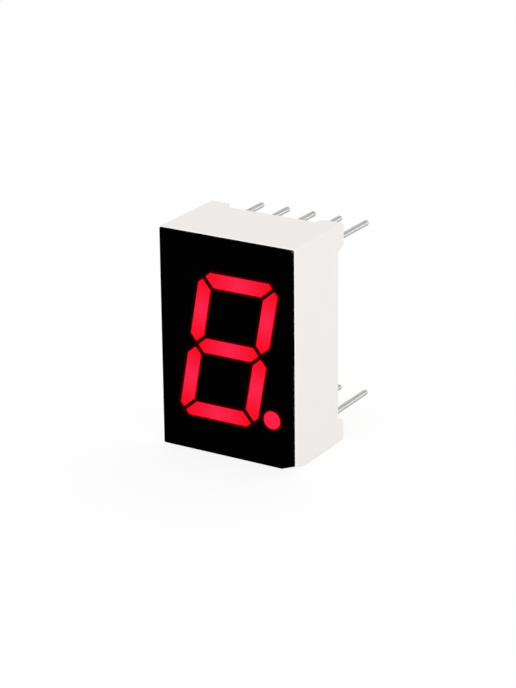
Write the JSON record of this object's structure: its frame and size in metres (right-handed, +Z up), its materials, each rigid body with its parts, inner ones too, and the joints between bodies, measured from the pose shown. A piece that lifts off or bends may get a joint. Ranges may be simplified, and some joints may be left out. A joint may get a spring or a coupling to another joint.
{
  "type": "seven segment display",
  "caption": "Single digit seven segment LED display in a white housing with a black face, a red slanted digit, a decimal point and two rows of round pins.",
  "frame": {"origin": "on the floor under the middle of the whole part, pins included, as it stands upright on the lower edge of its housing", "axes": "+Z up along the digit, +Y out of the back along the pins, +X to the right as the digit is read from the front"},
  "size_m": [0.0126, 0.0142, 0.019],
  "materials": {
    "housing": "fine satin moulded surface, slightly warm white",
    "face": "dead matte black print film",
    "segment": "diffused red epoxy, lit",
    "board": "bare glass-epoxy laminate",
    "track": "gold-flashed copper",
    "chip": "sawn crystal",
    "wire": "drawn gold wire",
    "pin": "bright tinned steel, slightly streaked",
    "solder": "satin solder",
    "seal": "milky cast epoxy"
  },
  "bodies": {
    "root": {"reflector_shell": "housing", "face_film": "face", "circuit_board": "board", "rear_seal": "seal", "solder_fillets": "solder", "track_common": "track", "track_a": "track", "light_guide_a": "segment", "led_chip_a": "chip", "bond_wire_a": "wire", "track_b": "track", "light_guide_b": "segment", "led_chip_b": "chip", "bond_wire_b": "wire", "track_c": "track", "light_guide_c": "segment", "led_chip_c": "chip", "bond_wire_c": "wire", "track_d": "track", "light_guide_d": "segment", "led_chip_d": "chip", "bond_wire_d": "wire", "track_e": "track", "light_guide_e": "segment", "led_chip_e": "chip", "bond_wire_e": "wire", "track_f": "track", "light_guide_f": "segment", "led_chip_f": "chip", "bond_wire_f": "wire", "track_g": "track", "light_guide_g": "segment", "led_chip_g": "chip", "bond_wire_g": "wire", "track_point": "track", "light_guide_point": "segment", "led_chip_point": "chip", "bond_wire_point": "wire", "pin_1": "pin", "pin_2": "pin", "pin_3": "pin", "pin_4": "pin", "pin_5": "pin", "pin_6": "pin", "pin_7": "pin", "pin_8": "pin", "pin_9": "pin", "pin_10": "pin"}
  },
  "joints": []
}
